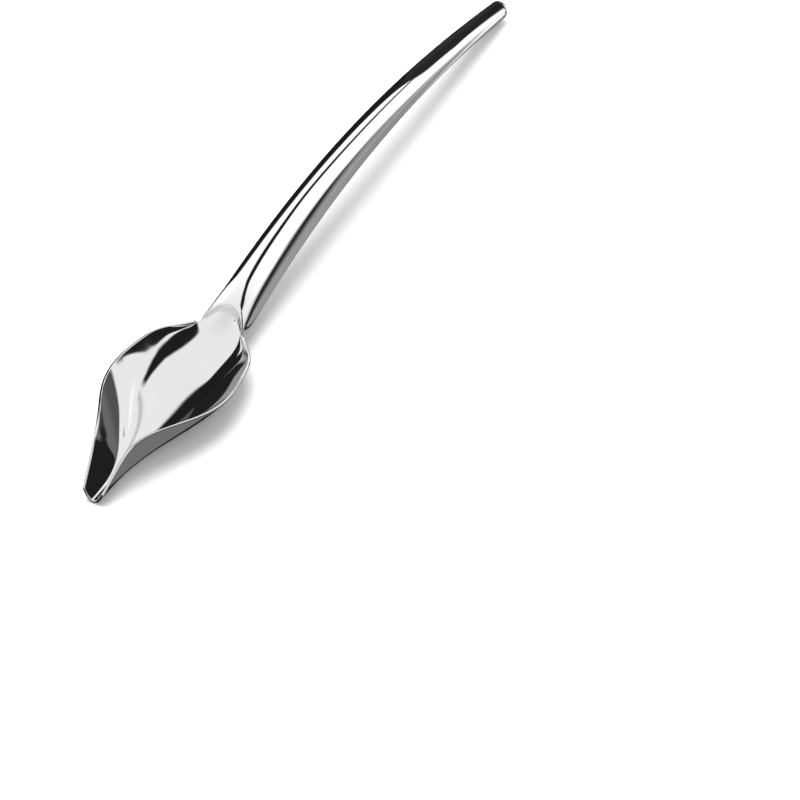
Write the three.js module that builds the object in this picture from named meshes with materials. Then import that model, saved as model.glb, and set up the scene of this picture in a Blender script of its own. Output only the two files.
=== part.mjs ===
// A decorating spoon in polished stainless steel, standing on z = 0 with its length along X.
// A pressed bowl runs out into an open pour channel at -X. The bowl's tongue is brazed into a
// hollow, arched handle that is made of a front shell, a back shell and an end cap.
// Millimetres, +Z up. Lengths named "station" are measured along X from the neck, where the
// bowl's rim meets the handle: the bowl is at negative stations and the handle at positive ones.

import * as THREE from 'three';

// Driving dimensions
const bowlLength = 58;
const handleLength = 147.8;
const bowlSheet = 0.7;
const handleSheet = 0.8;
const clearance = 0.3;

// Bowl: one row for each section that gives the bowl its shape. Half width and rim height are
// those of the rim's outer edge, floor height is the inner surface on the centre line, and a
// higher roundness makes a flatter floor with steeper walls.
const bowlSections = [
  { station: -58.0, halfWidth: 2.7, rimHeight: 3.2, floorHeight: 1.0, roundness: 2.0 },
  { station: -53.5, halfWidth: 3.6, rimHeight: 6.8, floorHeight: 0.9, roundness: 2.1 },
  { station: -48.6, halfWidth: 4.8, rimHeight: 10.2, floorHeight: 0.8, roundness: 2.2 },
  { station: -41.0, halfWidth: 8.1, rimHeight: 11.2, floorHeight: 0.65, roundness: 2.3 },
  { station: -31.0, halfWidth: 13.0, rimHeight: 9.7, floorHeight: 0.55, roundness: 2.3 },
  { station: -21.5, halfWidth: 14.8, rimHeight: 8.8, floorHeight: 0.6, roundness: 2.3 },
  { station: -13.5, halfWidth: 13.8, rimHeight: 8.5, floorHeight: 1.1, roundness: 2.3 },
  { station: -6.8, halfWidth: 11.4, rimHeight: 7.9, floorHeight: 3.3, roundness: 2.2 },
  { station: 0.0, halfWidth: 5.7, rimHeight: 7.1, floorHeight: 7.2, roundness: 2.1 },
  { station: 5.0, halfWidth: 5.2, rimHeight: 7.1, floorHeight: 10.9, roundness: 2.1 },
];

// Handle: the centre line is one cubic curve, and the section tapers from the neck to the end.
const handleCurve = new THREE.CubicBezierCurve3(
  new THREE.Vector3(0, 0, 5.6),
  new THREE.Vector3(50, 0, 18.6),
  new THREE.Vector3(95, 0, 14.6),
  new THREE.Vector3(handleLength, 0, 2.91),
);
const neckHalfWidth = 5.1;
const neckFlare = 0.8;
const flareLength = 14;
const neckHalfHeight = 3.85;
const endRadius = 2.5;
const crownRoundness = 2.2;
const bellyRoundness = 3.2;
const endRoundness = 2.0;
const noseStart = 2.8;
const noseLength = 4.2;
const seamHeight = 0.3;
const seamWidth = 1.2;
const beadWidth = 0.6;

// Neck joint: the front shell's edge is an arch, and the tongue steps down to pass under it.
const archDepth = 4.2;
const dishEnd = -0.9;
const tongueStart = -0.5;
const braze = { start: -0.3, end: 0.2, depth: 0.6 };
const shellStart = 0.5;
const tongueEnd = 34;
const tongueWidth = 0.84;

// End cap
const capLength = 1.7;
const capDome = 0.8;
const spigotLength = 2.4;
const lastStation = handleLength - capLength;

// Mesh fineness
const bowlRows = 40;
const bowlColumns = 20;
const tongueRows = 9;
const handleRows = 32;
const shellColumns = 12;
const beadRows = 32;
const brazeColumns = 16;

const { clamp, lerp, smoothstep } = THREE.MathUtils;

function steel(color, roughness) {
  return new THREE.MeshStandardMaterial({ color, roughness, metalness: 1 });
}

function named(name, geometry, material) {
  const mesh = new THREE.Mesh(geometry, material);
  mesh.name = name;
  return mesh;
}

// A closed sheet between two grids of points, with walls around its four edges.
function sheetGeometry(rows, columns, upperAt, lowerAt) {
  const positions = [];
  const indices = [];
  const across = columns + 1;
  const lowerStart = (rows + 1) * across;
  for (const surface of [upperAt, lowerAt]) {
    for (let i = 0; i <= rows; i++) {
      for (let j = 0; j <= columns; j++) positions.push(...surface(i / rows, j / columns).toArray());
    }
  }
  const quad = (a, b, c, d) => indices.push(a, b, c, a, c, d);
  for (let i = 0; i < rows; i++) {
    for (let j = 0; j < columns; j++) {
      const a = i * across + j;
      const b = a + across;
      quad(a, b, b + 1, a + 1);
      quad(lowerStart + a, lowerStart + a + 1, lowerStart + b + 1, lowerStart + b);
    }
  }
  for (let i = 0; i < rows; i++) {
    const near = i * across;
    const far = near + columns;
    quad(near, lowerStart + near, lowerStart + near + across, near + across);
    quad(far, far + across, lowerStart + far + across, lowerStart + far);
  }
  for (let j = 0; j < columns; j++) {
    const last = rows * across + j;
    quad(j, j + 1, lowerStart + j + 1, lowerStart + j);
    quad(last, lowerStart + last, lowerStart + last + 1, last + 1);
  }
  const geometry = new THREE.BufferGeometry();
  geometry.setAttribute('position', new THREE.Float32BufferAttribute(positions, 3));
  geometry.setIndex(indices);
  geometry.computeVertexNormals();
  return geometry;
}

// A smooth curve through one value of every bowl section, as a function of the station.
function bowlProfile(name) {
  const slope = (i) => {
    const before = bowlSections[Math.max(i - 1, 0)];
    const after = bowlSections[Math.min(i + 1, bowlSections.length - 1)];
    return (after[name] - before[name]) / (after.station - before.station);
  };
  return (station) => {
    const passed = bowlSections.filter((section) => section.station <= station).length;
    const i = clamp(passed - 1, 0, bowlSections.length - 2);
    const from = bowlSections[i];
    const to = bowlSections[i + 1];
    const span = to.station - from.station;
    const u = clamp((station - from.station) / span, 0, 1);
    const ease = 3 * u ** 2 - 2 * u ** 3;
    return lerp(from[name], to[name], ease)
      + span * slope(i) * (u ** 3 - 2 * u ** 2 + u)
      + span * slope(i + 1) * (u ** 3 - u ** 2);
  };
}

const rimHalfWidth = bowlProfile('halfWidth');
const rimHeight = bowlProfile('rimHeight');
const floorHeight = bowlProfile('floorHeight');
const bowlRoundness = bowlProfile('roundness');

// The bowl's inner surface. Its last rows lean into the arch of the neck joint.
function dishPoint(station, across) {
  const lean = smoothstep(station, -16, dishEnd) * (archStation(station, across) - station);
  const rim = rimHeight(station);
  const floor = floorHeight(station + lean);
  const share = 1 - Math.abs(across) ** bowlRoundness(station);
  const y = across * (rimHalfWidth(station) - bowlSheet);
  return new THREE.Vector3(station + lean, y, lerp(rim, floor, share));
}

// The underside: the inner surface moved out by the sheet's thickness, and flattened where it
// stands on the table.
function dishUnderside(station, across) {
  const step = 0.02;
  const along = dishPoint(station + step, across).sub(dishPoint(station - step, across));
  const side = dishPoint(station, across + step).sub(dishPoint(station, across - step));
  const normal = along.cross(side).normalize();
  const point = dishPoint(station, across).addScaledVector(normal, -bowlSheet);
  return point.setZ(Math.max(point.z, 0));
}

// The tongue inside the handle, a clearance below the front shell.
function tonguePoint(station, across, inset) {
  const shifted = archStation(station, across);
  const section = handleSection(shifted);
  const halfWidth = section.crownWidth - inset;
  const halfHeight = section.halfHeight - inset;
  const arc = (1 - Math.abs(across * tongueWidth) ** section.crown) ** (1 / section.crown);
  return new THREE.Vector3(shifted, across * tongueWidth * halfWidth, section.centre.z + halfHeight * arc);
}

function bowl() {
  const rows = bowlRows + 1 + tongueRows;
  const tongueInset = handleSheet + clearance;
  const surface = (dish, inset) => (along, share) => {
    const row = Math.round(along * rows);
    const across = 2 * share - 1;
    if (row <= bowlRows) return dish(lerp(-bowlLength, dishEnd, row / bowlRows), across);
    const reach = ((row - bowlRows - 1) / tongueRows) ** 1.5;
    return tonguePoint(lerp(tongueStart, tongueEnd, reach), across, inset);
  };
  const upper = surface(dishPoint, tongueInset);
  const lower = surface(dishUnderside, tongueInset + bowlSheet);
  return named('bowl', sheetGeometry(rows, bowlColumns, upper, lower), steel(0xd8d9da, 0.08));
}

// Handle section at a station: its centre, its size, and its roundness above and below. The
// crown flares towards the neck, and the belly rises there into a rounded nose.
function handleSection(station) {
  const u = clamp(station / handleLength, 0, 1);
  let low = 0;
  let high = 1;
  while (high - low > 1e-7) {
    const middle = (low + high) / 2;
    if (handleCurve.getPoint(middle).x < station) low = middle;
    else high = middle;
  }
  const nose = Math.sqrt(1 - (1 - clamp((station - noseStart) / noseLength, 0, 1)) ** 2);
  const halfHeight = lerp(neckHalfHeight, endRadius, u);
  const halfWidth = lerp(neckHalfWidth, endRadius, u);
  return {
    centre: handleCurve.getPoint(low).setX(station),
    halfHeight,
    crownWidth: halfWidth + neckFlare * (1 - clamp(station / flareLength, 0, 1)) ** 2,
    bellyWidth: lerp(0.7, 1, nose) * halfWidth,
    bellyDepth: lerp(0.1, 1, nose) * (halfHeight - handleSheet) + handleSheet,
    crown: lerp(crownRoundness, endRoundness, u),
    belly: lerp(bellyRoundness, endRoundness, smoothstep(u, 0.3, 1)),
  };
}

// A point of a superellipse with the given half axes and roundness.
function rounded(angle, width, height, roundness) {
  const power = (value) => Math.sign(value) * Math.abs(value) ** (2 / roundness);
  return { y: width * power(Math.cos(angle)), z: height * power(Math.sin(angle)) };
}

// A point on the crown. The angle runs from 0 at +Y over the top to PI at -Y, and inset moves
// the point into the metal.
function crownPoint(station, angle, inset) {
  const section = handleSection(station);
  const { y, z } = rounded(angle, section.crownWidth - inset, section.halfHeight - inset, section.crown);
  return new THREE.Vector3(station, y, section.centre.z + z);
}

// The angle at which the crown passes a height above the centre line.
function crownAngle(station, height, inset) {
  const section = handleSection(station);
  const share = clamp(Math.abs(height) / (section.halfHeight - inset), 0, 1);
  return Math.sign(height) * Math.asin(share ** (section.crown / 2));
}

// A point on the back of the handle: its sides continue the crown's section, and below the
// centre line the belly is squarer.
function backPoint(station, angle, inset) {
  const section = handleSection(station);
  const above = Math.sin(angle) > 0;
  const height = (above ? section.halfHeight : section.bellyDepth) - inset;
  const { y, z } = rounded(angle, section.bellyWidth - inset, height, above ? section.crown : section.belly);
  return new THREE.Vector3(station, y, section.centre.z + z);
}

// The shells' last station at an angle round the section: the end is cut square to the handle,
// which points down there.
function squareEnd(angle) {
  const tangent = handleCurve.getTangent(1);
  return lastStation - endRadius * Math.sin(angle) * tangent.z / tangent.x;
}

// Height of the seam between the two shells above the handle's centre line.
function seamAt(station) {
  return seamHeight * handleSection(station).halfHeight;
}

// The joint at the neck follows an arch over the crown. This is its station at a point that lies
// at a share of the half width from the middle.
function archStation(station, across) {
  return station + archDepth * (1 - across ** 2);
}

// The same arch, at a share of the way round the crown from one seam to the other.
function crownArchStation(station, share) {
  const low = crownAngle(0, seamAt(0) + seamWidth / 2, 0);
  return archStation(station, rounded(lerp(low, Math.PI - low, share), 1, 1, crownRoundness).y);
}

function frontShell() {
  const surface = (inset) => (along, share) => {
    const last = squareEnd(lerp(Math.PI, 0, share));
    const station = lerp(crownArchStation(shellStart, share), last, along ** 1.25);
    const low = crownAngle(station, seamAt(station) + seamWidth / 2, inset);
    return crownPoint(station, lerp(Math.PI - low, low, share), inset);
  };
  const geometry = sheetGeometry(handleRows, shellColumns, surface(0), surface(handleSheet));
  return named('handle_front_shell', geometry, steel(0xd4d5d6, 0.1));
}

function backShell() {
  const surface = (inset) => (along, share) => {
    const last = squareEnd(lerp(0, -Math.PI, share));
    const station = lerp(noseStart, last, along ** 1.6);
    const rim = crownAngle(station, seamAt(station) - seamWidth / 2, inset);
    return backPoint(station, lerp(rim, -Math.PI - rim, share), inset);
  };
  const geometry = sheetGeometry(handleRows, shellColumns, surface(0), surface(handleSheet));
  return named('handle_back_shell', geometry, steel(0xc4c5c7, 0.14));
}

// A bead of weld metal in the groove between the two shells, ground flush with them.
function seamBead(name, side) {
  const surface = (inset) => (along, share) => {
    const station = lerp(noseStart + 1, lastStation, along);
    const height = seamAt(station) + lerp(-beadWidth / 2, beadWidth / 2, share);
    const angle = crownAngle(station, height, inset);
    return crownPoint(station, side > 0 ? angle : Math.PI - angle, inset);
  };
  const outer = surface(0);
  const inner = surface(handleSheet);
  const [upper, lower] = side > 0 ? [inner, outer] : [outer, inner];
  return named(name, sheetGeometry(beadRows, 1, upper, lower), steel(0xb9bbbd, 0.22));
}

// The fillet of braze metal that fills the arched step between the bowl and the front shell.
function neckBraze() {
  const surface = (inset) => (along, share) => {
    const station = crownArchStation(lerp(braze.start, braze.end, along), share);
    const low = crownAngle(station, seamAt(station) + seamWidth / 2, inset);
    return crownPoint(station, lerp(Math.PI - low, low, share), inset);
  };
  const geometry = sheetGeometry(1, brazeColumns, surface(0), surface(braze.depth));
  return named('neck_braze', geometry, steel(0xc9c6bd, 0.2));
}

// A domed cap with a spigot that plugs the handle's open end.
function endCap() {
  const shoulder = capLength - clearance - capDome;
  const spigotRadius = endRadius - handleSheet - clearance;
  const outline = new THREE.Path();
  outline.moveTo(0, -spigotLength);
  outline.lineTo(spigotRadius, -spigotLength);
  outline.lineTo(spigotRadius, 0);
  outline.lineTo(endRadius, 0);
  outline.lineTo(endRadius, shoulder - 0.4);
  outline.quadraticCurveTo(endRadius, shoulder + 0.3, endRadius * 0.7, shoulder + capDome * 0.6);
  outline.quadraticCurveTo(endRadius * 0.35, shoulder + capDome, 0, shoulder + capDome);
  const cap = named('handle_end_cap', new THREE.LatheGeometry(outline.getPoints(5), 24), steel(0xcfd0d2, 0.12));
  cap.quaternion.setFromUnitVectors(new THREE.Vector3(0, 1, 0), handleCurve.getTangent(1));
  cap.position.copy(handleSection(lastStation + clearance).centre);
  return cap;
}

const spoon = new THREE.Group();
spoon.add(bowl());
spoon.add(neckBraze());
spoon.add(frontShell());
spoon.add(backShell());
spoon.add(seamBead('seam_weld_left', 1));
spoon.add(seamBead('seam_weld_right', -1));
spoon.add(endCap());

// The spoon stands on z = 0 with the middle of its length and width at the origin.
const box = new THREE.Box3().setFromObject(spoon, true);
spoon.position.set(-(box.min.x + box.max.x) / 2, -(box.min.y + box.max.y) / 2, -box.min.z);

export default spoon;
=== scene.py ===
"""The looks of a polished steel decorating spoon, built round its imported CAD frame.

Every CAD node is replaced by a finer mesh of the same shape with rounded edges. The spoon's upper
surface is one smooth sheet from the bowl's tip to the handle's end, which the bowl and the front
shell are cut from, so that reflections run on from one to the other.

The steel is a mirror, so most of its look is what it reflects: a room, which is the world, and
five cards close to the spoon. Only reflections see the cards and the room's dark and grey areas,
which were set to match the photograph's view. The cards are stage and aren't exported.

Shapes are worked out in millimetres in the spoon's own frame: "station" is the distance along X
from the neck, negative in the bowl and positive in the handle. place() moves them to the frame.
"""

import math

import bmesh
import bpy
import numpy as np
from mathutils import Matrix, Vector


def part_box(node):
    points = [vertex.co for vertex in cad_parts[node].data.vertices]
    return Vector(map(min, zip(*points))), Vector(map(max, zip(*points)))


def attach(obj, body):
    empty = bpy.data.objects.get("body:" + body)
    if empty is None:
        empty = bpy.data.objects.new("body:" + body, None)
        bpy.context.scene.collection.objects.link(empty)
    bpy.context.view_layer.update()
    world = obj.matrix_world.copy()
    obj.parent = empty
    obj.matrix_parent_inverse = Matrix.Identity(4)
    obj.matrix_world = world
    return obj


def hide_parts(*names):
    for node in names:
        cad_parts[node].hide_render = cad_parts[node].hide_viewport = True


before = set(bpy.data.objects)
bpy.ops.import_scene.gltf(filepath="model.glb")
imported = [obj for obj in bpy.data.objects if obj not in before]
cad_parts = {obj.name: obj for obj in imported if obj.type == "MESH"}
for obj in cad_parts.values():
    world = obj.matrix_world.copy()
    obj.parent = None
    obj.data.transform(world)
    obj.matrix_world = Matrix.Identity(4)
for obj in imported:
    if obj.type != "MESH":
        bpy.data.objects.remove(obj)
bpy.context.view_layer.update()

MM = 0.001

# Bowl: station, half width and height of the rim, height of the floor, roundness of the section.
BOWL_SECTIONS = np.array([
    (-58.0, 2.7, 3.2, 1.0, 2.0),
    (-53.5, 3.6, 6.8, 0.9, 2.1),
    (-48.6, 4.8, 10.2, 0.8, 2.2),
    (-41.0, 8.1, 11.2, 0.65, 2.3),
    (-31.0, 13.0, 9.7, 0.55, 2.3),
    (-21.5, 14.8, 8.8, 0.6, 2.3),
    (-13.5, 13.8, 8.5, 1.1, 2.3),
    (-6.8, 11.4, 7.9, 3.3, 2.2),
    (0.0, 5.7, 7.1, 7.2, 2.1),
    (5.0, 5.2, 7.1, 10.9, 2.1),
])
BOWL_LENGTH = 58.0
BOWL_SHEET = 0.7
SECTION_SOFTNESS = 0.2
TIP_INSET = 0.35
TIP_ROWS = 0.9
TABLE_SOFTNESS = 0.08

# Handle
HANDLE_LENGTH = 147.8
HANDLE_SHEET = 0.8
HANDLE_CURVE = np.array([(0.0, 5.6), (50.0, 18.6), (95.0, 14.6), (147.8, 2.91)])
NECK_HALF_WIDTH = 5.1
NECK_HALF_HEIGHT = 3.85
NECK_FLARE = 0.8
FLARE_LENGTH = 14.0
END_RADIUS = 2.5
CROWN_ROUNDNESS = 2.2
BELLY_ROUNDNESS = 3.2
END_ROUNDNESS = 2.0
NOSE_START = 2.8
NOSE_LENGTH = 4.2
SEAM_HEIGHT = 0.3
SEAM_STOP = 0.3
CAP_LENGTH = 1.7
CAP_DOME = 0.8
CAP_CORNER = 0.55
CAP_GAP = 0.3

# Neck joint
ARCH_DEPTH = 4.2
TONGUE_INSET = HANDLE_SHEET + 0.3
TONGUE_END = 34.0
TONGUE_WIDTH = 0.84

# Visible lines between the parts
NECK_LINE = 0.14
SEAM_LINE = 0.11

MERGE_DISTANCE = 2e-7

neck_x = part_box("bowl")[0].x / MM + BOWL_LENGTH


def mix(a, b, share):
    return a + (b - a) * share


def ease(low, high, value):
    """0 below low, 1 above high, and smooth to the second derivative in between."""
    u = np.clip((value - low) / (high - low), 0, 1)
    return u**3 * (10 - 15 * u + 6 * u**2)


def spline(stations, values):
    """A natural cubic spline through the values, as a function of the station."""
    n = len(stations)
    gap = np.diff(stations)
    slope = np.diff(values) / gap
    system = np.eye(n)
    right = np.zeros(n)
    for i in range(1, n - 1):
        system[i, i - 1 : i + 2] = gap[i - 1], 2 * (gap[i - 1] + gap[i]), gap[i]
        right[i] = 6 * (slope[i] - slope[i - 1])
    bend = np.linalg.solve(system, right)

    def at(station):
        q = np.clip(station, stations[0], stations[-1])
        i = np.clip(np.searchsorted(stations, q, side="right") - 1, 0, n - 2)
        after = q - stations[i]
        before = stations[i + 1] - q
        h = gap[i]
        curved = (bend[i] * before**3 + bend[i + 1] * after**3) / (6 * h)
        first = (values[i] / h - bend[i] * h / 6) * before
        second = (values[i + 1] / h - bend[i + 1] * h / 6) * after
        return curved + first + second

    return at


rim_half_width, rim_height, floor_height, bowl_roundness = (
    spline(BOWL_SECTIONS[:, 0], BOWL_SECTIONS[:, column]) for column in range(1, 5)
)

bezier_share = np.linspace(-0.05, 1.05, 8001)[:, None]
centre_line = (
    (1 - bezier_share) ** 3 * HANDLE_CURVE[0]
    + 3 * bezier_share * (1 - bezier_share) ** 2 * HANDLE_CURVE[1]
    + 3 * bezier_share**2 * (1 - bezier_share) * HANDLE_CURVE[2]
    + bezier_share**3 * HANDLE_CURVE[3]
)


def centre_height(station):
    """Height of the handle's centre line."""
    return np.interp(station, centre_line[:, 0], centre_line[:, 1])


def handle_size(station):
    """Half width and half height of the crown, its roundness, and how far along the handle it is."""
    u = station / HANDLE_LENGTH
    flare = NECK_FLARE * (1 - np.clip(station / FLARE_LENGTH, 0, 1)) ** 2
    width = mix(NECK_HALF_WIDTH, END_RADIUS, u) + flare
    height = mix(NECK_HALF_HEIGHT, END_RADIUS, u)
    return width, height, mix(CROWN_ROUNDNESS, END_ROUNDNESS, u), u


def crown_edge(station, above_seam):
    """Distance from the middle at which the crown is this far above the seam."""
    width, height, roundness, _ = handle_size(station)
    share = SEAM_HEIGHT + above_seam / height
    return width * (1 - share**roundness) ** (1 / roundness)


def soft_power(value, power):
    """|value| to a power, rounded off near 0 and exact at 1."""
    soft = SECTION_SOFTNESS**2
    low = soft ** (power / 2)
    high = (1 + soft) ** (power / 2)
    return ((value**2 + soft) ** (power / 2) - low) / (high - low)


def top(a, t):
    """The upper surface. a is the station of a row at the edges, before it leans into the neck's
    arch, and t runs across from -1 to 1, from the rim or seam on one side to the other."""
    lean = ease(-18, -0.5, a) * (1 - ease(15, 60, a))
    x = a + lean * ARCH_DEPTH * (1 - t**2)
    dish_share = 1 - soft_power(t, bowl_roundness(a))
    dish = mix(rim_height(a), floor_height(x), dish_share)
    half = mix(rim_half_width(a) - BOWL_SHEET, crown_edge(x, SEAM_LINE), ease(-3, 4, a))
    y = t * half
    width, height, roundness, _ = handle_size(x)
    drop = np.clip(1 - np.abs(y / width) ** roundness, 0.02, 1)
    crown = centre_height(x) + height * drop ** (1 / roundness)
    return np.stack([x, y, mix(dish, crown, ease(-1.6, 1.6, a))], axis=-1)


def inside(a, t, depth):
    """A point this deep under the upper surface."""
    step = 0.02
    along = top(a + step, t) - top(a - step, t)
    across = top(a, t + step / 4) - top(a, t - step / 4)
    normal = np.cross(along, across)
    normal /= np.linalg.norm(normal, axis=-1, keepdims=True)
    return top(a, t) - normal * depth[..., None]


def unit(vectors):
    return vectors / np.maximum(np.linalg.norm(vectors, axis=-1, keepdims=True), 1e-12)


def place(points):
    """Millimetres in the spoon's frame to metres in the row frame."""
    return (np.asarray(points) + (neck_x, 0, 0)) * MM


def mesh_piece(name, points, faces, material, nodes):
    mesh = bpy.data.meshes.new(name)
    mesh.from_pydata(place(points).tolist(), [], faces)
    piece = bpy.data.objects.new(name, mesh)
    bpy.context.scene.collection.objects.link(piece)
    work = bmesh.new()
    work.from_mesh(mesh)
    bmesh.ops.remove_doubles(work, verts=work.verts, dist=MERGE_DISTANCE)
    bmesh.ops.recalc_face_normals(work, faces=work.faces)
    work.to_mesh(mesh)
    work.free()
    mesh.shade_smooth()
    mesh.materials.append(material)
    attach(piece, "root")
    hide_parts(*nodes)
    return piece


def tube_faces(rows, columns):
    """Quads of a tube of this many rows, each a closed loop."""
    faces = []
    for first in range(0, (rows - 1) * columns, columns):
        second = first + columns
        for j in range(columns):
            k = (j + 1) % columns
            faces.append((first + j, first + k, second + k, second + j))
    return faces


def open_faces(rows, columns):
    """Quads of an open grid of this many rows."""
    faces = []
    for first in range(0, (rows - 1) * columns, columns):
        second = first + columns
        for j in range(columns - 1):
            faces.append((first + j, second + j, second + j + 1, first + j + 1))
    return faces


def rounded_sheet(upper, lower, bulge, power, steps):
    """Rows of closed loops round a sheet between two grids of points. Its four edges bulge out
    by this much, or by half the sheet's thickness where bulge is None. Power 2 makes them half
    round, and a higher one squarer."""
    centre = (upper + lower) / 2
    offset = (upper - lower) / 2
    thick = np.linalg.norm(offset, axis=-1, keepdims=True)
    reach = thick if bulge is None else np.full_like(thick, bulge)
    angles = np.linspace(0, math.pi, 2 * steps + 1)[1:-1]
    cos = np.sign(np.cos(angles)) * np.abs(np.cos(angles)) ** (2 / power)
    sin = np.abs(np.sin(angles)) ** (2 / power)

    def side(last, before):
        """The rounded edge past the last column, square to the sheet's thickness."""
        away = unit(centre[:, last] - centre[:, before])
        through = offset[:, last]
        lean = (away * through).sum(-1, keepdims=True) / thick[:, last] ** 2
        out = unit(away - through * lean) * reach[:, last]
        bent = through[:, None] * cos[None, :, None] + out[:, None] * sin[None, :, None]
        return centre[:, last, None] + bent

    far = side(-1, -2)
    near = side(0, 1)[:, ::-1]
    loops = np.concatenate([upper, far, lower[:, ::-1], near], axis=1)
    arc = len(angles)
    columns = centre.shape[1]

    def around(grid):
        """A grid's values, repeated for each point of the loops."""
        edges = [np.repeat(grid[:, column : column + 1], arc, axis=1) for column in (columns - 1, 0)]
        return np.concatenate([grid, edges[0], grid[:, ::-1], edges[1]], axis=1)

    middle = around(centre)
    depth = around(reach)
    turn = np.linspace(0, math.pi / 2, steps + 1)[1:]
    turn_cos = np.cos(turn) ** (2 / power)
    turn_sin = np.sin(turn) ** (2 / power)
    turn_cos[-1] = 0

    def end(last, before):
        """The loops that close the sheet past its last row."""
        away = unit(middle[last] - middle[before]) * depth[last]
        spread = loops[last] - middle[last]
        return [middle[last] + spread * c + away * s for c, s in zip(turn_cos, turn_sin)]

    rows = end(0, 1)[::-1] + list(loops) + end(-1, -2)
    return np.array(rows)


def sheet_piece(name, rows, material, nodes):
    count, size, _ = rows.shape
    return mesh_piece(name, rows.reshape(-1, 3), tube_faces(count, size), material, nodes)


def across_shares(count, reach=1.0):
    """Values of t from -reach to reach that crowd together near both edges."""
    return reach * np.sin(np.linspace(-math.pi / 2, math.pi / 2, count))


# Materials ---------------------------------------------------------------------------------------


class Nodes:
    """A short way to add linked shader nodes."""

    def __init__(self, tree):
        self.tree = tree
        self.tree.nodes.clear()

    def add(self, kind, inputs=None, **settings):
        node = self.tree.nodes.new(kind)
        for key, value in settings.items():
            setattr(node, key, value)
        for key, value in (inputs or {}).items():
            if isinstance(value, bpy.types.NodeSocket):
                self.tree.links.new(value, node.inputs[key])
            else:
                node.inputs[key].default_value = value
        return node

    def math(self, operation, a, b=0.0, clamp=False):
        return self.add("ShaderNodeMath", {0: a, 1: b}, operation=operation, use_clamp=clamp).outputs[0]

    def ramp(self, value, low, high, out_low=0.0, out_high=1.0):
        """A smooth step from out_low to out_high as value goes from low to high."""
        return self.add(
            "ShaderNodeMapRange",
            {"Value": value, "From Min": low, "From Max": high, "To Min": out_low, "To Max": out_high},
            interpolation_type="SMOOTHSTEP",
        ).outputs[0]


MARK_LENGTH = 60
CLOUD_SCALE = 90.0
BUMP_DISTANCE = 0.00002


def polished_steel(name, colour, roughness, grain, grain_depth):
    """Steel with a mirror polish: faint drawn-out polishing marks and soft clouding. The marks'
    scale is MARK_LENGTH along the spoon and grain across it."""
    material = bpy.data.materials.new(name)
    material.use_nodes = True
    n = Nodes(material.node_tree)
    place_in = n.add("ShaderNodeTexCoord").outputs["Object"]
    along = n.add("ShaderNodeMapping", {"Vector": place_in, "Scale": (MARK_LENGTH, grain, grain)}).outputs[0]
    marks = n.add(
        "ShaderNodeTexNoise", {"Vector": along, "Scale": 1.0, "Detail": 4.0, "Roughness": 0.6}
    ).outputs["Fac"]
    clouds = n.add(
        "ShaderNodeTexNoise", {"Vector": place_in, "Scale": CLOUD_SCALE, "Detail": 3.0, "Roughness": 0.5}
    ).outputs["Fac"]
    mixed = n.math("ADD", n.math("MULTIPLY", marks, 0.6), n.math("MULTIPLY", clouds, 0.4))
    rough = n.ramp(mixed, 0.3, 0.7, roughness * 0.7, roughness * 1.4)
    tone = n.add("ShaderNodeValToRGB", {"Fac": clouds})
    low, high = tone.color_ramp.elements
    low.position, high.position = 0.3, 0.7
    low.color = (*(c * 0.97 for c in colour), 1)
    high.color = (*colour, 1)
    bump = n.add(
        "ShaderNodeBump", {"Height": mixed, "Strength": grain_depth, "Distance": BUMP_DISTANCE}
    ).outputs[0]
    shader = n.add(
        "ShaderNodeBsdfPrincipled",
        {"Base Color": tone.outputs[0], "Metallic": 1.0, "Roughness": rough, "Normal": bump},
    )
    n.add("ShaderNodeOutputMaterial", {"Surface": shader.outputs[0]})
    return material


steel_polished = polished_steel("steel_polished", (0.93, 0.93, 0.935), 0.045, 900, 0.05)
steel_back = polished_steel("steel_back", (0.9, 0.9, 0.905), 0.07, 1100, 0.08)
steel_weld = polished_steel("steel_weld", (0.84, 0.84, 0.85), 0.14, 2400, 0.2)
steel_cap = polished_steel("steel_cap", (0.9, 0.9, 0.905), 0.06, 1200, 0.08)
braze_metal = polished_steel("braze_metal", (0.86, 0.85, 0.82), 0.14, 2400, 0.2)


# Bowl --------------------------------------------------------------------------------------------


def bowl_rows():
    """Grids of the upper and lower surface from the tip to the tongue's hidden end. The tongue
    covers only part of the width, and the underside rests on the table."""
    dish = np.concatenate([
        -BOWL_LENGTH + TIP_INSET + TIP_ROWS * np.linspace(0, 1, 8) ** 1.5,
        np.linspace(-BOWL_LENGTH + TIP_INSET + TIP_ROWS, -8, 180)[1:],
        np.linspace(-8, -0.8, 42)[1:],
        np.linspace(-0.8, -NECK_LINE, 12)[1:],
    ])
    t = across_shares(81)
    drop = ease(-1.5, -0.5, dish)
    upper = inside(dish[:, None], t[None], np.zeros((len(dish), len(t))))
    under_tongue = 1 - ease(TONGUE_WIDTH - 0.1, TONGUE_WIDTH + 0.1, np.abs(t))
    lower_depth = BOWL_SHEET + drop[:, None] * under_tongue * TONGUE_INSET
    lower = inside(dish[:, None], t[None], lower_depth)
    tongue = np.linspace(0.12, 1, 18) ** 1.6 * TONGUE_END
    tongue_t = across_shares(81, TONGUE_WIDTH)
    depth = np.full((len(tongue), len(t)), TONGUE_INSET)
    upper = np.concatenate([upper, inside(tongue[:, None], tongue_t[None], depth)])
    lower = np.concatenate([lower, inside(tongue[:, None], tongue_t[None], depth + BOWL_SHEET)])
    lower[..., 2] = (lower[..., 2] + np.sqrt(lower[..., 2] ** 2 + TABLE_SOFTNESS**2)) / 2
    return upper, lower


sheet_piece(
    "bowl_skin", rounded_sheet(*bowl_rows(), None, 2, 6), steel_polished, ["bowl"]
)


# Handle ------------------------------------------------------------------------------------------


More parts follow.
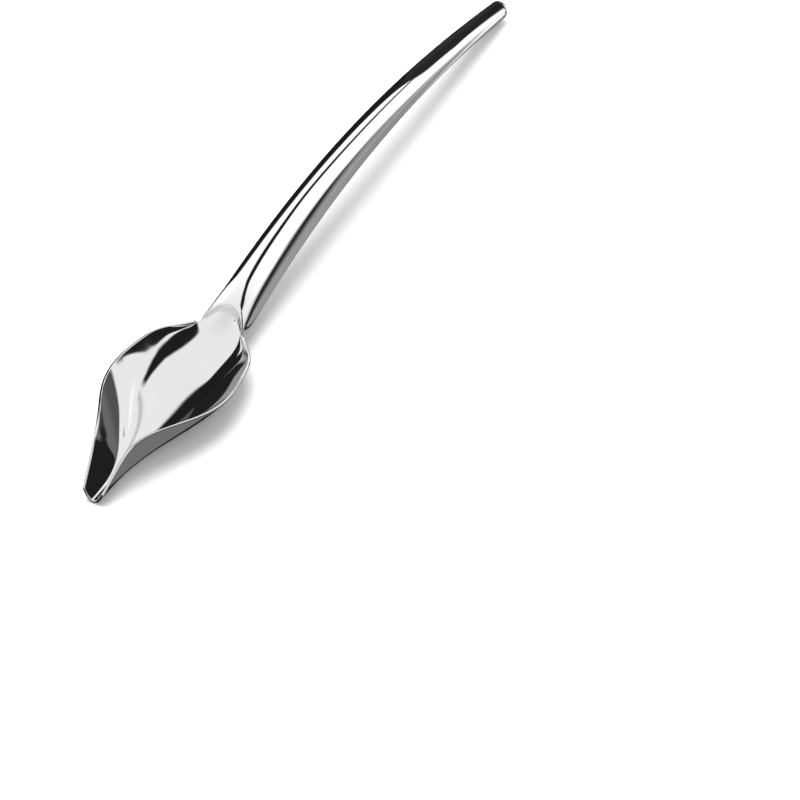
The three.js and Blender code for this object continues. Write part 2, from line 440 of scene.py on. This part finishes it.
def square_end(height_share):
    """The shells' last station at a height from the centre line, as a share of the end's radius:
    the end is cut square to the handle, which points down there."""
    tilt = HANDLE_CURVE[3] - HANDLE_CURVE[2]
    return HANDLE_LENGTH - CAP_LENGTH - END_RADIUS * height_share * tilt[1] / tilt[0]


def front_shell_rows():
    t = across_shares(57)
    share = np.concatenate([np.linspace(0, 0.012, 8)[:-1], np.linspace(0.012, 1, 170)])
    first = NECK_LINE + 0.02
    lengths = square_end(np.sqrt(np.clip(1 - (t * 0.94) ** 2, 0, 1)))
    a = first + (lengths[None] - first) * share[:, None]
    upper = inside(a, t[None], np.zeros_like(a))
    lower = inside(a, t[None], np.full_like(a, HANDLE_SHEET))
    return upper, lower


sheet_piece(
    "front_shell_skin",
    rounded_sheet(*front_shell_rows(), 0.1, 4, 5),
    steel_polished,
    ["handle_front_shell"],
)


def back_point(x, angle, inset):
    """A point on the back of the handle at an angle below the seam. It hangs from the crown's
    edge, is narrower below it near the neck, and rises to a rounded nose."""
    width, height, roundness, u = handle_size(x)
    nose = np.sqrt(1 - (1 - np.clip((x - NOSE_START) / NOSE_LENGTH, 0, 1)) ** 2)
    straight = mix(NECK_HALF_WIDTH, END_RADIUS, u)
    belly_width = mix(0.7, 1, nose) * straight
    under = ease(0.25, -0.45, np.sin(angle))
    side = mix(width, belly_width, under) - inset
    depth = mix(0.1, 1, nose) * (height - HANDLE_SHEET) + HANDLE_SHEET - inset
    belly = mix(BELLY_ROUNDNESS, END_ROUNDNESS, ease(0.3, 1, u))
    above = np.sin(angle) > 0
    power = np.where(above, roundness, belly)
    tall = np.where(above, height - inset, depth)
    y = side * np.sign(np.cos(angle)) * np.abs(np.cos(angle)) ** (2 / power)
    z = centre_height(x) + tall * np.sign(np.sin(angle)) * np.abs(np.sin(angle)) ** (2 / power)
    return np.stack([x, y, z], axis=-1)


def back_shell_rows():
    share = np.linspace(0, 1, 200) ** 1.5
    across = np.linspace(0, 1, 97)
    last = square_end(np.sin(-np.pi * across))
    x = NOSE_START + (last[None] - NOSE_START) * share[:, None]
    grids = []
    for inset in (0.0, HANDLE_SHEET):
        _, height, roundness, _ = handle_size(x)
        level = np.clip((SEAM_HEIGHT * height - SEAM_LINE) / (height - inset), 0, 1)
        rim = np.arcsin(level ** (roundness / 2))
        grids.append(back_point(x, mix(rim, -np.pi - rim, across[None]), inset))
    return grids


sheet_piece(
    "back_shell_skin",
    rounded_sheet(*back_shell_rows(), 0.1, 4, 5),
    steel_back,
    ["handle_back_shell"],
)


def seam_rows(side):
    """The weld metal that fills the seam, ground nearly flush with the shells."""
    x = np.linspace(NOSE_START + 1, HANDLE_LENGTH - CAP_LENGTH - SEAM_STOP, 150)[:, None]
    level = np.linspace(SEAM_LINE - 0.03, -SEAM_LINE + 0.03, 5)[None] * side
    grids = []
    for inset in (0.025, HANDLE_SHEET):
        width, height, roundness, _ = handle_size(x)
        share = (SEAM_HEIGHT * height + level) / (height - inset)
        y = side * (width - inset) * (1 - share**roundness) ** (1 / roundness)
        z = centre_height(x) + (height - inset) * share
        grids.append(np.stack([x + 0 * z, y, z], axis=-1))
    return grids


for name, node, side in (("weld_left", "seam_weld_left", 1), ("weld_right", "seam_weld_right", -1)):
    sheet_piece(name, rounded_sheet(*seam_rows(side), 0.03, 3, 3), steel_weld, [node])


def braze_rows():
    """The braze metal in the fine line between the bowl and the front shell."""
    a = np.linspace(-NECK_LINE + 0.05, NECK_LINE - 0.03, 5)[:, None]
    t = across_shares(57, 0.985)[None]
    depth = np.zeros((a.size, t.size))
    return inside(a, t, depth + 0.06), inside(a, t, depth + 0.6)


sheet_piece(
    "braze_line", rounded_sheet(*braze_rows(), 0.03, 3, 3), braze_metal, ["neck_braze"]
)


def cap_rows():
    """The domed cap, turned about the handle's end direction, with its spigot."""
    # (radius, height above the shells' end) from the middle of the spigot's foot to the dome's top
    straight_end = CAP_LENGTH - CAP_GAP - CAP_DOME - 0.25
    angles = np.linspace(0, math.pi / 2, 15)[1:]
    flat = END_RADIUS - CAP_CORNER
    spigot = [(0.0, -2.4), (1.3, -2.4), (1.4, -2.3), (1.4, -0.02), (1.42, 0.0)]
    rim = [(2.4, 0.0), (2.47, 0.02), (END_RADIUS, 0.08), (END_RADIUS, 0.3), (END_RADIUS, straight_end)]
    corner = [
        (flat + CAP_CORNER * math.cos(v), straight_end + CAP_CORNER * math.sin(v)) for v in angles[:-1]
    ]
    dome_start = straight_end + CAP_CORNER
    rise = CAP_LENGTH - CAP_GAP - dome_start
    dome = [(flat * math.cos(v), dome_start + rise * math.sin(v) ** 1.2) for v in angles]
    outline = spigot + rim + corner + dome
    turns = np.linspace(0, 2 * math.pi, 97)[:-1]
    ring = np.stack([np.cos(turns), np.sin(turns)], axis=-1)
    forward = unit(HANDLE_CURVE[3] - HANDLE_CURVE[2])
    axis = np.array([forward[0], 0, forward[1]])
    side = np.array([0.0, 1.0, 0.0])
    up = np.cross(axis, side)
    start = HANDLE_LENGTH - CAP_LENGTH + CAP_GAP
    base = np.array([start, 0, centre_height(start)])
    spokes = ring[:, :1] * side + ring[:, 1:] * up
    return np.array([base + axis * height + radius * spokes for radius, height in outline])


sheet_piece("cap_skin", cap_rows(), steel_cap, ["handle_end_cap"])


# Table -------------------------------------------------------------------------------------------


TABLE_HALF_SIZE = 3.0
TABLE_LINES = 25


def table():
    """A pale matt table top, in metres. The steel sees the room's lower half in its place."""
    mesh = bpy.data.meshes.new("table")
    ticks = np.linspace(-TABLE_HALF_SIZE, TABLE_HALF_SIZE, TABLE_LINES)
    points = [(x, y, 0) for x in ticks for y in ticks]
    mesh.from_pydata(points, [], open_faces(TABLE_LINES, TABLE_LINES))
    floor = bpy.data.objects.new("table", mesh)
    bpy.context.scene.collection.objects.link(floor)
    material = bpy.data.materials.new("pale_table")
    material.use_nodes = True
    n = Nodes(material.node_tree)
    fine = n.add("ShaderNodeTexNoise", {"Scale": 400.0, "Detail": 3.0}).outputs["Fac"]
    tone = n.add("ShaderNodeValToRGB", {"Fac": fine})
    tone.color_ramp.elements[0].color = (0.9, 0.9, 0.9, 1)
    tone.color_ramp.elements[1].color = (0.93, 0.93, 0.93, 1)
    shader = n.add(
        "ShaderNodeBsdfPrincipled",
        {"Base Color": tone.outputs[0], "Roughness": 0.9, "Specular IOR Level": 0.0},
    )
    n.add("ShaderNodeOutputMaterial", {"Surface": shader.outputs[0]})
    mesh.materials.append(material)
    floor.visible_glossy = False


table()


# Light -------------------------------------------------------------------------------------------


def curved(n, value, points):
    """A smooth curve through points (value, result), level beyond its ends."""
    ats, results = zip(*points)
    low, span = ats[0], ats[-1] - ats[0]
    base, rise = min(results), max(results) - min(results)
    share = n.math("DIVIDE", n.math("SUBTRACT", value, low), span, clamp=True)
    node = n.add("ShaderNodeFloatCurve", {"Value": share})
    line = node.mapping.curves[0]
    scaled = [((at - low) / span, (result - base) / rise) for at, result in points]
    line.points[0].location, line.points[1].location = scaled[0], scaled[-1]
    for at, result in scaled[1:-1]:
        line.points.new(at, result)
    node.mapping.update()
    return n.math("ADD", n.math("MULTIPLY", node.outputs[0], rise), base)


def shade(n, level, target, mask):
    """level, or target where the mask is 1."""
    kept = n.math("MULTIPLY", level, n.math("SUBTRACT", 1.0, mask))
    return n.math("ADD", kept, n.math("MULTIPLY", mask, target))


def between(n, value, low, high, soft):
    """1 while value is between low and high."""
    after = n.ramp(n.math("SUBTRACT", value, low), -soft, soft)
    before = n.ramp(n.math("SUBTRACT", value, high), -soft, soft, 1, 0)
    return n.math("MULTIPLY", after, before)


BLACK = 0.012
# The black of the painted reflection inside the bowl
BOWL_REFLECTION_BLACK = 0.014
DARK = 0.02
WHITE = 1.1
ROOM_WHITE = 0.88
EVEN_LIGHT = 0.95


def studio():
    """White surroundings, with dark and grey areas that only the steel's reflections see. x, y
    and z are a direction's parts. Its roll is its angle round the X axis from straight up, positive
    towards +Y, as a share of a right angle. The curves give a roll for an x, and far an x for a
    roll."""
    world = bpy.data.worlds.new("studio")
    bpy.context.scene.world = world
    world.use_nodes = True
    n = Nodes(world.node_tree)
    direction = n.add("ShaderNodeTexCoord").outputs["Generated"]
    split = n.add("ShaderNodeSeparateXYZ", {0: direction})
    x, y, z = split.outputs
    roll = n.math("DIVIDE", n.math("ARCTAN2", y, z), math.pi / 2)
    level = n.ramp(x, -0.6, -0.2, 0.66, ROOM_WHITE)

    # A dark gap between two lights on the -Y side.
    upper = curved(n, x, [
        (-0.2, -0.47), (0.1, -0.475), (0.33, -0.53), (0.42, -0.55), (0.48, -0.53), (0.57, -0.48),
        (0.7, -0.41),
    ])
    lower = curved(n, x, [
        (-0.3, 0.12), (-0.22, 0.02), (-0.12, -0.08), (0.05, -0.21), (0.24, -0.33), (0.41, -0.41),
        (0.53, -0.41), (0.62, -0.38), (0.7, -0.33),
    ])
    gap = n.math("MULTIPLY", between(n, roll, upper, lower, 0.02), between(n, x, -0.26, 0.65, 0.04))
    level = shade(n, level, BLACK, gap)

    # Below the lights on the -Y side: black near the bowl's tip and grey towards the handle.
    under = curved(n, x, [
        (-0.3, -0.53), (0.02, -0.545), (0.2, -0.555), (0.3, -0.57), (0.38, -0.595), (0.43, -0.63),
        (0.46, -0.67), (0.48, -0.71), (0.51, -0.74), (0.56, -0.765), (0.64, -0.79), (0.79, -0.82),
        (0.86, -0.87),
    ])
    low_side = n.ramp(n.math("SUBTRACT", roll, under), -0.012, 0.012, 1, 0)
    low_side = n.math("MULTIPLY", low_side, n.ramp(x, -0.5, -0.4))
    level = shade(n, level, n.ramp(x, 0.58, 0.66, BLACK, 0.12), low_side)

    # A faint line between the lights.
    faint = n.math("MULTIPLY", between(n, x, 0.7, 0.725, 0.02), between(n, roll, -0.42, 0.0, 0.06))
    level = shade(n, level, 0.42, n.math("MULTIPLY", faint, 0.9))

    # The dark side of the room, towards +Y.
    side_edge = curved(n, x, [
        (0.1, 1.2), (0.2, 0.87), (0.24, 0.7), (0.31, 0.55), (0.43, 0.47), (0.57, 0.43), (1, 0.42),
    ])
    dark_side = n.ramp(n.math("SUBTRACT", roll, side_edge), -0.05, 0.05)
    level = shade(n, level, BLACK, dark_side)

    # The far end of the room.
    far = curved(n, roll, [(-0.75, 0.93), (-0.45, 0.88), (-0.3, 0.85), (0.3, 0.84)])
    level = shade(n, level, 0.015, n.ramp(n.math("SUBTRACT", x, far), -0.01, 0.015))

    # The table, which the steel sees in shadow.
    shadowed = shade(n, n.ramp(x, 0.6, 0.72, 0.17, 0.3), BLACK, n.ramp(y, 0.02, 0.1))
    level = shade(n, level, shadowed, n.ramp(z, -0.03, 0.01, 1, 0))
    grey = n.add("ShaderNodeCombineColor", {0: level, 1: level, 2: level}).outputs[0]
    seen = n.add("ShaderNodeBackground", {"Color": grey, "Strength": 1.0}).outputs[0]
    even = n.add("ShaderNodeBackground", {"Color": (1, 1, 1, 1), "Strength": EVEN_LIGHT}).outputs[0]
    path = n.add("ShaderNodeLightPath")
    shader = n.add("ShaderNodeMixShader", {0: path.outputs["Is Glossy Ray"], 1: even, 2: seen})
    n.add("ShaderNodeOutputWorld", {"Surface": shader.outputs[0]})


studio()


def card(name, points, faces=((0, 1, 2, 3),)):
    """A card by the spoon that only the steel's reflections see. Gives its shader nodes and the
    station, Y and height of a point on it, in millimetres."""
    mesh = bpy.data.meshes.new(name)
    mesh.from_pydata(place(points).tolist(), [], faces)
    thing = bpy.data.objects.new(name, mesh)
    bpy.context.scene.collection.objects.link(thing)
    thing.visible_camera = False
    thing.visible_diffuse = False
    thing.visible_shadow = False
    thing.visible_transmission = False
    material = bpy.data.materials.new(name)
    material.use_nodes = True
    mesh.materials.append(material)
    n = Nodes(material.node_tree)
    position = n.add("ShaderNodeSeparateXYZ", {0: n.add("ShaderNodeTexCoord").outputs["Object"]})
    along, y, height = (n.math("MULTIPLY", out, 1 / MM) for out in position.outputs)
    return n, n.math("SUBTRACT", along, neck_x), y, height


def ray_length(n):
    """How far a reflected ray has come, in millimetres."""
    return n.math("MULTIPLY", n.add("ShaderNodeLightPath").outputs["Ray Length"], 1 / MM)


def card_output(n, level, clear=0.0):
    """The card's light at this level, let through where clear is 1."""
    grey = n.add("ShaderNodeCombineColor", {0: level, 1: level, 2: level}).outputs[0]
    light = n.add("ShaderNodeEmission", {"Color": grey, "Strength": 1.0}).outputs[0]
    nothing = n.add("ShaderNodeBsdfTransparent").outputs[0]
    shader = n.add("ShaderNodeMixShader", {0: clear, 1: light, 2: nothing}).outputs[0]
    n.add("ShaderNodeOutputMaterial", {"Surface": shader})


TOP_CARD = 30.0
SIDE_CARD = 20.0
CARD_START = 9.0
PINCH_START = 2.0
CARD_END = 200.0
CARD_DEPTH = 60.0
FLAG_Y = 16.4
FLAG_CORNERS = ((-40, 9.2), (-2, 9.2), (2, 20), (-40, 23))
# Height of the painted-reflection liner over the inside of the bowl
PAINTED_REFLECTION_GAP = 0.12

# Lengths of the reflected rays that tell the near part of the spoon from the far one
NEAR_NECK = (34, 38)
FAR_BOWL = (42, 46)
ACROSS_BOWL = (26, 27)


def top_card():
    """A white card over the handle with a thin dark gap along it. It is dark at its far end and
    on part of its -Y edge."""
    start, end, side = PINCH_START, CARD_END, SIDE_CARD
    edge = ((start, -side), (end, -side), (end, side), (start, side))
    n, along, y, _ = card("top_card", [(x, y, TOP_CARD) for x, y in edge])
    is_near = n.ramp(ray_length(n), *NEAR_NECK, 1, 0)
    white = n.ramp(along, CARD_START, 24, ROOM_WHITE, WHITE)

    # The end of the gap by the neck runs across, so it is measured along the handle there.
    gap_at = curved(n, along, [
        (12.4, -8), (13.4, -3), (15, 0), (17.5, 3), (20, 5), (25, 6.6), (30, 7.5), (40, 8.1),
        (52, 8.3), (60, 7.5), (70, 6.2), (80, 5.1), (90, 4.4), (100, 3.8), (115, 3.1), (130, 3),
    ])
    from_gap = n.math("ABSOLUTE", n.math("SUBTRACT", y, gap_at))
    neck_at = curved(n, y, [(-20, 9.6), (-11, 10.8), (-8, 11.8), (-3, 13.2), (0, 14.8), (3, 17.4), (5, 20)])
    from_neck = n.math("ABSOLUTE", n.math("SUBTRACT", along, neck_at))
    off = shade(n, from_gap, from_neck, n.ramp(along, 16, 18, 1, 0))
    half = curved(n, along, [(9, 0.9), (14, 1.4), (25, 2.1), (60, 1.8), (115, 1.5), (130, 1.4)])
    gap = n.ramp(n.math("SUBTRACT", off, half), -0.4, 0.5, 1, 0)
    gap = n.math("MULTIPLY", gap, n.math("MAXIMUM", n.ramp(y, -10.6, -9.2), is_near))
    level = shade(n, white, BLACK, gap)

    # The far end.
    far_edge = curved(n, along, [
        (60, 36), (80, 26), (90, 22), (100, 18.5), (112, 15), (119, 8), (124, -1), (133, -7),
        (150, -12), (165, -18), (180, -27), (195, -40),
    ])
    level = shade(n, level, DARK, n.ramp(n.math("SUBTRACT", y, far_edge), -1.8, 1.8))

    # The top of the dark card beside the handle.
    side_edge = curved(n, along, [(28, -26), (35, -20), (42, -17), (60, -16.5), (72, -19), (84, -25)])
    level = shade(n, level, DARK, n.ramp(n.math("SUBTRACT", y, side_edge), -4, 4.5, 1, 0))

    # Painted shade in the neck's reflection: a dark part of the card that darkens the pinch where the neck
    # meets the bowl's -Y rim. Only the neck sees this part.
    pinch = n.math("MULTIPLY", between(n, y, -18.5, -7.4, 0.4), n.ramp(along, 9.4, 10.2, 1, 0))
    pinch = n.math("MULTIPLY", pinch, is_near)
    level = shade(n, level, BLACK, pinch)
    open_part = n.math("MULTIPLY", n.math("LESS_THAN", along, CARD_START), n.math("SUBTRACT", 1.0, pinch))
    card_output(n, level, open_part)


def side_card(name, y):
    low, high = -CARD_DEPTH, TOP_CARD
    edge = ((CARD_START, low), (CARD_END, low), (CARD_END, high), (CARD_START, high))
    return card(name, [(x, y, z) for x, z in edge])


def right_card():
    """The card at the handle's -Y side: a dark middle that fades to grey towards the table and
    ends softly in white above and far along the handle."""
    n, along, _, height = side_card("right_card", -SIDE_CARD)
    crest = curved(n, along, [
        (12, 7), (15, 12), (20, 17), (30, 23), (40, 26), (50, 28.5), (62, 31), (90, 33),
    ])
    over = n.math("SUBTRACT", height, crest)
    dark = n.ramp(along, 60, 100, 0.013, 0.17)
    grey = n.ramp(along, 60, 110, 0.34, 0.3)
    fade = n.ramp(over, -20, -3, 1, 0)
    level = shade(n, dark, grey, fade)
    reach = curved(n, height, [(0, 160), (5, 140), (10, 126), (15, 113), (20, 103), (25, 92), (30, 79)])
    white = n.ramp(along, CARD_START, 40, ROOM_WHITE, WHITE)
    level = shade(n, level, white, n.ramp(n.math("SUBTRACT", along, reach), -13, 9))
    level = shade(n, level, white, n.ramp(over, -1, 9))
    level = shade(n, level, 0.08, n.ramp(along, 178, 190))

    # Painted reflection for the bowl: rays that have come further, from the bowl, see this card with its
    # grey part lower.
    far_edge = n.math("ADD", n.math("MULTIPLY", along, -0.45), 24.2)
    below_edge = n.ramp(n.math("SUBTRACT", height, far_edge), -0.8, 0.8, 1, 0)
    from_bowl = shade(n, ROOM_WHITE, 0.12, n.math("MULTIPLY", below_edge, n.ramp(height, 15.5, 17)))
    is_bowl_side = n.math("MULTIPLY", n.ramp(along, 48, 56, 1, 0), n.ramp(height, 6, 9))
    is_far = n.math("MULTIPLY", n.ramp(ray_length(n), *FAR_BOWL), is_bowl_side)
    card_output(n, shade(n, level, from_bowl, is_far))


def left_card():
    """The card at the handle's +Y side, black near the table and white above."""
    n, along, _, height = side_card("left_card", SIDE_CARD)
    edge = curved(n, along, [
        (9, 5), (16, 7), (19, 9), (20.2, 11), (21.5, 15), (25, 19.4), (30, 21.2), (40, 23.6), (50, 25.6),
        (60, 27), (80, 29), (100, 31), (120, 32),
    ])
    level = n.ramp(n.math("SUBTRACT", height, edge), -1, 1.4, BLACK, WHITE)
    card_output(n, shade(n, level, 0.03, n.ramp(along, 118, 130)))


def bowl_flag():
    """A black flag beside the bowl, past its +Y rim."""
    n, _, _, _ = card("bowl_flag", [(x, FLAG_Y, z) for x, z in FLAG_CORNERS])
    card_output(n, BLACK)


def bowl_painted_reflection():
    """Painted reflection: what the inside of the bowl shows of itself in its own reflections, painted
    on a thin one-sided liner that glows and stands in for the real reflections of one wall in the other."""
    stations = np.concatenate([np.linspace(-57.4, -8, 70), np.linspace(-8, -0.3, 14)[1:]])
    t = across_shares(41)
    shape = len(stations), len(t)
    points = inside(stations[:, None], t[None], np.full(shape, -PAINTED_REFLECTION_GAP))
    n, along, y, _ = card("bowl_painted_reflection", points.reshape(-1, 3), open_faces(*shape))

    # Seen from the +Y wall: black towards the tip, then grey, and white on the -Y side.
    tip_edge = curved(n, y, [(-8, -33), (-5, -34), (-2, -35), (0, -33.6), (2, -31), (9, -28)])
    past_tip = n.ramp(n.math("SUBTRACT", along, tip_edge), -0.5, 0.6)
    grey = n.ramp(along, -31, -12, 0.15, 0.085)
    white_edge = n.math("ADD", n.math("MULTIPLY", along, 0.42), -3.4)
    grey = shade(n, grey, 0.9, n.ramp(n.math("SUBTRACT", y, white_edge), -1.4, 1.4, 1, 0))
    far_seen = shade(n, BOWL_REFLECTION_BLACK, grey, past_tip)

    # Seen from the -Y wall: black, with a light line by the neck and a grey one along the wall.
    neck_edge = curved(n, y, [(-6, -4.6), (-3, -3.6), (0, -2.9), (3, -2.2), (6, -1.7)])
    light = n.ramp(n.math("SUBTRACT", along, neck_edge), -0.4, 0.4)
    wall = n.ramp(y, -3.2, -2.2, 1, 0)
    near_seen = shade(n, shade(n, BOWL_REFLECTION_BLACK, 0.3, wall), 0.5, light)

    # Rays from the +Y wall have come further. The limit falls towards the tip, and near the tip
    # all of them are taken as the +Y wall's.
    past = n.math("SUBTRACT", ray_length(n), n.math("MULTIPLY", along, 0.6))
    is_far = n.math("MAXIMUM", n.ramp(past, *ACROSS_BOWL), n.ramp(along, -18, -16, 1, 0))
    level = shade(n, near_seen, far_seen, is_far)
    card_output(n, level, n.add("ShaderNodeNewGeometry").outputs["Backfacing"])


top_card()
right_card()
left_card()
bowl_flag()
bowl_painted_reflection()


LIGHT_PLACE = (0.02, 0.12, 1.0)
LIGHT_SIZE = 0.75
LIGHT_POWER = 9.0


def soft_light():
    """One large lamp overhead, which gives the soft shadow on the table."""
    data = bpy.data.lights.new("soft_light", "AREA")
    data.shape = "DISK"
    data.size = LIGHT_SIZE
    data.energy = LIGHT_POWER
    light = bpy.data.objects.new("soft_light", data)
    bpy.context.scene.collection.objects.link(light)
    light.location = LIGHT_PLACE
    light.rotation_mode = "QUATERNION"
    light.rotation_quaternion = (-Vector(light.location)).to_track_quat("-Z", "Y")
    light.visible_glossy = False


soft_light()


# Camera ------------------------------------------------------------------------------------------


CAMERA_ELEVATION = math.radians(41.37)
CAMERA_AZIMUTH = math.radians(-63.15)
CAMERA_DISTANCE = 800.0
CAMERA_LENS = 157.5
CAMERA_SENSOR = 36
NECK_POINT_HEIGHT = 7.5
RIGHT_OF_NECK = 40.91
BELOW_NECK = 17.07


def camera():
    """The view is down on the bowl from beyond its tip, with the neck left of the middle."""
    elevation, azimuth = CAMERA_ELEVATION, CAMERA_AZIMUTH
    back = Vector((
        math.sin(azimuth) * math.cos(elevation),
        -math.cos(azimuth) * math.cos(elevation),
        math.sin(elevation),
    ))
    right = Vector((math.cos(azimuth), math.sin(azimuth), 0))
    up = back.cross(right)
    neck = Vector((neck_x, 0, NECK_POINT_HEIGHT))
    data = bpy.data.cameras.new("camera")
    data.lens = CAMERA_LENS
    data.sensor_width = CAMERA_SENSOR
    data.clip_start = 0.01
    data.clip_end = 50
    cam = bpy.data.objects.new("camera", data)
    bpy.context.scene.collection.objects.link(cam)
    where = neck + right * RIGHT_OF_NECK - up * BELOW_NECK + back * CAMERA_DISTANCE
    turn = Matrix((right, up, back)).transposed().to_4x4()
    cam.matrix_world = Matrix.Translation(where * MM) @ turn
    bpy.context.scene.camera = cam


camera()
bpy.context.scene.view_settings.view_transform = "Standard"
